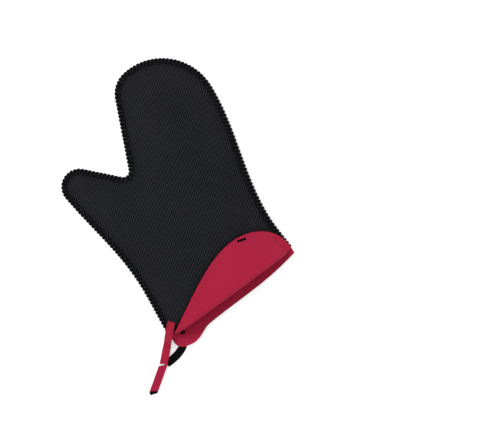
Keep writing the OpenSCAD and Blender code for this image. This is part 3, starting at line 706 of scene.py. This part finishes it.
def tubes(name, paths, wide, a, b, material):
    """Tubes along paths (count, steps, 3): ellipses with half axes a along wide and b across it."""
    count, steps = paths.shape[:2]
    sides = tube_sides
    tangent = np.gradient(paths, axis=1)
    tangent /= np.maximum(np.linalg.norm(tangent, axis=-1, keepdims=True), 1e-9)
    wide = wide - (wide * tangent).sum(-1, keepdims=True) * tangent
    wide /= np.linalg.norm(wide, axis=-1, keepdims=True)
    across = np.cross(tangent, wide)
    f = np.linspace(0, 2 * np.pi, sides, endpoint=False)
    a, b = np.broadcast_to(a, (steps,)), np.broadcast_to(b, (steps,))
    ring = (paths[:, :, None] + np.cos(f)[:, None] * (a[:, None, None] * wide[:, :, None])
            + np.sin(f)[:, None] * (b[:, None, None] * across[:, :, None]))
    i, j = np.meshgrid(np.arange(steps - 1), np.arange(sides), indexing="ij")
    k, l = i * sides, (j + 1) % sides
    quads = np.stack([k + j, k + l, k + sides + l, k + sides + j], -1).reshape(-1, 4)
    cap = np.array([[0, 3, 2, 1], [0, 7, 4, 3], [4, 7, 6, 5]])
    end = (cap + (steps - 1) * sides)[:, ::-1]
    quads = np.vstack([quads, cap, end])
    faces = (quads[None] + (np.arange(count) * steps * sides)[:, None, None]).reshape(-1, 4)
    length = np.cumsum(np.linalg.norm(np.diff(paths, axis=1, prepend=paths[:, :1]), axis=-1), 1)
    uv = np.stack(np.broadcast_arrays(f[None, None] * 0.5, length[..., None]), -1)
    return mesh_object(name, ring.reshape(-1, 3), faces, material, uv.reshape(-1, 2))


def loops_over(name, s, slant=1.3):
    """One whip stitch at each length in s, from the needle hole over the edge to the other side."""
    d = np.array([5.3, 4.6, 3.2, 1.6, 0.1, -0.55, -0.75])
    d = np.concatenate([d, d[-2::-1]])
    top = half_seam + 0.25 + np.array([-0.5, 0.05, 0.3, 0.35, 0.05, -1.1])
    h = np.concatenate([top, [0.0], -top[::-1]])
    lean = np.concatenate([np.linspace(-slant, slant, 7), np.linspace(slant, -slant, 7)[1:]])
    ss = s[:, None] + lean * 0.5
    path = seam_point(ss, np.broadcast_to(d, ss.shape), np.broadcast_to(h, ss.shape))
    n = inward(ss)
    wide = np.concatenate([np.stack([n[..., 1], -n[..., 0]], -1), np.zeros((*ss.shape, 1))], -1)
    half = np.array([0.7, 1.1, 1.35, 1.5, 1.75, 1.95, 1.95])
    thick = np.array([0.2, 0.36, 0.46, 0.5, 0.65, 0.85, 0.95])
    half, thick = (np.concatenate([a, a[-2::-1]]) for a in (half, thick))
    return tubes(name, path, wide, half, thick, thread)


def needle_row(name, s):
    """Short stitches along the seam at its inner side, one between neighbouring loops."""
    z = half_seam + 0.12
    u = np.array([-1.2, -0.9, -0.4, 0.4, 0.9, 1.2])
    h = np.array([-0.6, 0.1, 0.3, 0.3, 0.1, -0.6])
    out = []
    for side in (1, -1):
        ss = s[:, None] + u
        level = np.broadcast_to(side * (z + h), ss.shape)
        path = seam_point(ss, np.full(ss.shape, needle_d), level)
        n = inward(ss)
        wide = np.concatenate([n, np.zeros((*ss.shape, 1))], -1)
        face = "top" if side > 0 else "under"
        out.append(tubes(f"{name}_{face}", path, wide, 0.8, 0.42, thread))
    return out


def under_band(name, s):
    """Thin folded band below the loops, from the needle row round the edge to the other side."""
    near, far = half_seam + 0.04, half_seam + 0.3
    d = np.array([5.2, 4, 2.6, 1.2, 0.2, 0, 0, 0, 0.2, 1.2, 2.6, 4, 5.2])
    z = np.array([1, 1, 1, 1, 1, 0.7, 0, -0.7, -1, -1, -1, -1, -1.0])
    grid = []
    for reach, out in ((far, 0.12), (near, 0.03)):
        dd = np.where(d < 0.1, -out, np.where(d < 0.3, -out * 0.5, d))
        ss = np.broadcast_to(s[:, None], (len(s), len(d)))
        dd, zz = np.broadcast_to(dd, ss.shape), np.broadcast_to(z * reach, ss.shape)
        grid.append(seam_point(ss, dd, zz))
    return shell(name, grid[0], grid[1], face_cloth)


pitch = s_end / round(s_end / loop_pitch)
stitch_s = np.arange(pitch / 2, s_end, pitch)
on_thumb = (stitch_s > s_low) & (stitch_s < s_web)
mid_s = stitch_s + pitch / 2
edge_hand = [loops_over("edge_loops_side", stitch_s[stitch_s <= s_low]),
             loops_over("edge_loops_hand", stitch_s[stitch_s >= s_web]),
             *needle_row("needle_row_side", mid_s[mid_s <= s_low]),
             *needle_row("needle_row_hand", mid_s[(mid_s >= s_web) & (mid_s < s_end - 3)]),
             under_band("edge_band_side", np.arange(0.5, s_low + 0.1, band_step)),
             under_band("edge_band_hand",
                        np.append(np.arange(s_web, s_end - 0.5, band_step), s_end - 0.4))]
edge_thumb = [loops_over("edge_loops_thumb", stitch_s[on_thumb]),
              *needle_row("needle_row_thumb", mid_s[(mid_s > s_low) & (mid_s < s_web)]),
              under_band("edge_band_thumb", np.append(np.arange(s_low, s_web, band_step), s_web))]
print(len(stitch_s), "loops, one every", round(pitch, 2), "mm")

# %% [markdown]
# ## The hanging loop
#
# A strap of the same laminate, red side out, comes up through a slit in the panel's corner, bends
# over the flap's end and runs down to the surface. A slot nearly two thirds across it leaves a
# narrow neck, and a tail hangs on beyond. The rear run, black side up, comes from under the lobe
# and is caught behind the neck.

# %% Front run and tail
strap_angle, tail_turn, run_l, tail_l, bare_l = 46.0, 9.0, 48.0, 38.5, 4.3
strap_cols, foam_end_r, facing_end_r = 9, 3.6, 1.4
notch_w, bridge_w, notch_lean, tuck = 2.0, 3.4, 24.0, 5.0
run_rows, tail_rows, neck_rows, wall_rows, turn_rows = 60, 44, 25, 5, 7
notch_r, notch_gap, tail_skew, tail_crowd = 0.7, 0.4, 1.5, 1.6
over_turn, rise_l, droop_from, droop_l = 13.0, 4.5, 4.0, 24.0
slit_clear, panel_clear, flap_clear, lap_clear = 0.2, 1.3, 1.1, 0.1
split_x, edge_x = -cuff_thumb - 10.5, -cuff_thumb - 1
lap_z = strap_t + lap_clear
slit_c = np.array([-86.0, 4.0])
run_dir = -turned(strap_angle)
run_side = np.array([run_dir[1], -run_dir[0]])


def over_corner(p):
    """Height of the front run's underside: out of the slit, over the flap, down past the edge.

    Heights of the panel are read no further out than its edge and no lower than its fold.
    """
    q = np.stack([np.maximum(p[..., 0], -cuff_thumb + 0.5), np.maximum(p[..., 1], -cuff_tilt)], -1)
    s = (p - slit_c) @ -turned(strap_angle + over_turn)
    z = over(q, (1, 0, 0, slit_clear))[..., 2]
    z += (over(q, (1, 1, 1, panel_clear))[..., 2] - z) * ease((s + tuck) / (tuck - 1))
    z += (over(q, (2, 2, 2, fold_gap + flap_clear))[..., 2] - z) * ease((s + 2) / rise_l)
    fall = (edge_x - p[..., 0]) / (edge_x - split_x)
    return z + (lap_z - z) * ease(fall)


def strap_height(p):
    """The corner's height up to the split, then level over the neck, then drooping to the floor."""
    s = (p - slit_c) @ run_dir
    droop = lap_z * (1 - ease((s - run_l - droop_from) / droop_l))
    return np.where(p[..., 0] > split_x, over_corner(p), droop)


def strap_edge(side, tail_end, r_end):
    """One cut edge of run and tail as plan points; the outer one goes in and out at the slot."""
    tail_dir = -turned(strap_angle - tail_turn)
    tail_side = np.array([tail_dir[1], -tail_dir[0]])
    neck = slit_c + run_l * run_dir
    mid_dir = -turned(strap_angle - tail_turn / 2 + notch_lean)
    mid_side = np.array([mid_dir[1], -mid_dir[0]])
    w = side * strap_w / 2
    before = (-notch_w / 2 - w * run_side @ mid_dir) / (run_dir @ mid_dir)
    after = (notch_w / 2 - w * tail_side @ mid_dir) / (tail_dir @ mid_dir)
    s = np.linspace(-tuck, run_l + before - notch_gap, run_rows)[:, None]
    run = slit_c + w * run_side + s * run_dir
    last = tail_end + side * tail_skew
    s = last - (last - after - notch_gap) * (1 - np.linspace(0, 1, tail_rows)) ** tail_crowd
    half = strap_w / 2 - r_end + np.sqrt(r_end**2 - np.clip(s - last + r_end, 0, r_end) ** 2)
    tail = neck + side * half[:, None] * tail_side + s[:, None] * tail_dir
    if side < 0:
        f = np.linspace(0, 1, neck_rows + 2)[1:-1, None]
        return np.vstack([run, run[-1] + (tail[0] - run[-1]) * f, tail])
    r, half_notch = notch_r, notch_w / 2
    inner = w - (strap_w - bridge_w)
    f = np.linspace(0, np.pi / 2, turn_rows)
    near = (w * run_side + before * run_dir) @ mid_side - notch_gap
    far = (w * tail_side + after * tail_dir) @ mid_side - notch_gap
    x = np.concatenate([np.full(wall_rows, -half_notch), -half_notch + r - r * np.cos(f),
                        half_notch - r + r * np.sin(f), np.full(wall_rows, half_notch)])
    y = np.concatenate([np.linspace(near, inner + 1, wall_rows), inner + r - r * np.sin(f),
                        inner + r - r * np.cos(f), np.linspace(inner + 1, far, wall_rows)])
    return np.vstack([run, neck + x[:, None] * mid_dir + y[:, None] * mid_side, tail])


def strap_plan(tail_end, r_end):
    """Grid between the two edges, of the same count of rows on both."""
    w = np.linspace(0, 1, strap_cols)[None, :, None]
    edges = [strap_edge(side, tail_end, r_end) for side in (1, -1)]
    i = [np.linspace(0, len(e) - 1, len(edges[0])) for e in edges]
    even = [np.stack([np.interp(j, np.arange(len(e)), e[:, c]) for c in (0, 1)], -1)[:, None]
            for e, j in zip(edges, i)]
    return even[0] * (1 - w) + even[1] * w


run_plan = strap_plan(tail_l, foam_end_r)
facing_plan = strap_plan(tail_l - bare_l, facing_end_r)


def ribbon(name, plan, base, a, b, material):
    """Shell between two heights over a ribbon's underside."""
    grids = [np.concatenate([plan, (base + h)[..., None]], -1) for h in (b, a)]
    return shell(name, grids[0], grids[1], material)


front_run = [ribbon("strap_front_foam", run_plan, strap_height(run_plan), 0, strap_core_t, foam),
             ribbon("strap_front_facing", facing_plan, strap_height(facing_plan), strap_core_t,
                    strap_t, lining)]

# %% Rear run
rear_tuck, rear_l, rear_step, rear_dir = 8.0, 47.0, 0.8, turned(60.0)
rear_a = np.array([-82.0, -18.0])
rear_b = slit_c - 0.6 * strap_w / 2 * run_side + rear_l * run_dir
rear = np.vstack([line(rear_a + rear_tuck * rear_dir, rear_a, rear_step),
                  curve(rear_a, -rear_dir, rear_b, np.array([-1.0, 0.0]), rear_step)])
w = np.linspace(-strap_w / 2, strap_w / 2, strap_cols)[None, :, None]
rear_plan = rear[:, None, :2] + w * rear[:, None, 2:]
flat = np.zeros(rear_plan.shape[:2])
rear_run = [ribbon("strap_rear_foam", rear_plan, flat, strap_face_t, strap_t, foam),
            ribbon("strap_rear_facing", rear_plan, flat, 0, strap_face_t, lining)]
print("strap pieces", [len(o.data.polygons) for o in front_run + rear_run])

# %% [markdown]
# ## Bar tacks
#
# A bar tack is a tight row of threads sewn across a short bar. One holds the flap down near its
# crest, one holds the strap's rear end inside the corner.

# %% Tacks
tack_pitch, tack_half, tack_high, tack_sink = 0.62, 0.42, 0.36, 0.12
flap_tack_c, strap_tack_c = np.array([40.0, 44.0]), np.array([-79.0, -10.5])
tack_lift = flap_lift * 0.75


def bar_tack(name, centre, length, width, angle, surface):
    """Row of short threads across the bar, side by side, resting on a surface."""
    count = int(length / tack_pitch)
    u = (np.arange(count) + 0.5) / count - 0.5
    x = np.linspace(-0.5, 0.5, 7)
    lift = tack_half * (1 - (2 * x) ** 6) - tack_sink
    d, n = turned(angle), turned(angle + 90)
    plan = centre + u[:, None, None] * length * d + (x * width)[None, :, None] * n
    path = surface(plan, lift[None])
    wide = np.broadcast_to(np.array([*d, 0.0]), path.shape)
    return tubes(name, path, wide, tack_half, tack_high, thread)


def on_flap(p, lift):
    """Point over the flap's lining, which has itself lifted off the panel there."""
    return over(p, (2, 2, 2, fold_gap)) + (lift + tack_lift)[..., None] * ceiling_normal(p)


def on_lip(p, lift):
    """Point over the back panel's lining."""
    q = back(p, INNER)
    return q + lift[..., None] * np.array([0, 0, 1])


flap_tack = bar_tack("flap_bar_tack", flap_tack_c, 10.5, 2.4, -15.0, on_flap)
strap_tack = bar_tack("strap_bar_tack", strap_tack_c, 6.0, 3.4, 0.0, on_lip)
print("tacks ready")

# %% [markdown]
# ## What moves with what
#
# The pieces of the hand, the thumb and the strap keep the places they were built in, baked into their
# meshes; nothing bends. The two bar tacks hang on the palm's body. Each new piece also stands in for
# the plain solid of the engineering model.


def bend(objects):
    """Bakes each piece's placement into its mesh; nothing is blended across a fold."""
    for o in objects:
        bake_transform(o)


bend(front_hand + back_hand + edge_hand)
bend(front_thumb + back_thumb + edge_thumb)
for o in front_run + rear_run:
    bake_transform(o)
for o in (flap_tack, strap_tack):
    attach(o, "palm")

for o, layer in zip(front_hand, ("face", "core", "lining")):
    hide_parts(f"front_{layer}_palm", f"front_{layer}_fingers")
for o, layer in zip(front_thumb, ("face", "core", "lining")):
    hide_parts(f"front_{layer}_thumb")
for o, layer in zip(back_hand, ("face", "core", "lining")):
    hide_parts(f"back_{layer}_palm", f"back_{layer}_fingers")
for o, layer in zip(back_thumb, ("face", "core", "lining")):
    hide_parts(f"back_{layer}_thumb")
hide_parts("edge_stitch_thumb_side")
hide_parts("edge_stitch_web", "edge_stitch_little_side", "edge_stitch_fingers")
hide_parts("edge_stitch_thumb")
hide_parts("flap_tack")
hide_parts("strap_tack")
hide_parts("front_strap_root", "front_strap")
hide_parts("front_strap_root_facing", "front_strap_facing")
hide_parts("rear_strap_root", "rear_strap")
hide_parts("rear_strap_root_facing", "rear_strap_facing")

# %% [markdown]
# ## What was cut flat, and what is padded
#
# The script gives no flat sizes for the cloths and marks nothing as padding. The hand's cloths are
# 203 mm wide in plan, and the strap's facings are 98 and 46 mm long on their middle lines. The area
# is half of the finished shell's own surface, so it is no independent figure. In the mitt the foam
# layers are the padding.

# %% Soft pieces


# %% [markdown]
# ## Floor and light
#
# A white floor that glows a little, under an even white world. A key light stands past the
# fingertips, a weak fill on the cuff's side, and a broad light hangs overhead.

# %% Stage


def soft_light(name, place, aim, size, power):
    """Square area light at a place, turned towards a point."""
    data = bpy.data.lights.new(name, "AREA")
    data.size, data.energy = size, power
    light = bpy.data.objects.new(name, data)
    bpy.context.collection.objects.link(light)
    light.location = place
    light.rotation_euler = (Vector(aim) - Vector(place)).to_track_quat("-Z", "Y").to_euler()


bpy.ops.mesh.primitive_plane_add(size=6.0, location=(0, 0, -0.0004))
ground = bpy.context.object
ground.name = "ground"
paper, tree, shader = principled("white_paper", 0.9)
shader.inputs["Base Color"].default_value = (0.9, 0.9, 0.9, 1)
shader.inputs["Emission Color"].default_value = (1, 1, 1, 1)
shader.inputs["Emission Strength"].default_value = 0.4
ground.data.materials.append(paper)
middle = (0.0, 0.11, 0.0)
soft_light("key", (-0.35, 1.05, 1.5), middle, 0.7, 15.0)
soft_light("fill", (1.1, -0.6, 1.2), middle, 1.4, 3.0)
soft_light("top", (0.1, 0.2, 2.0), middle, 1.6, 10.0)
world = bpy.data.worlds.new("studio")
world.use_nodes = True
sky = world.node_tree.nodes["Background"]
sky.inputs["Color"].default_value = (1, 1, 1, 1)
sky.inputs["Strength"].default_value = 0.5
bpy.context.scene.world = world
bpy.context.scene.view_settings.view_transform = "Standard"
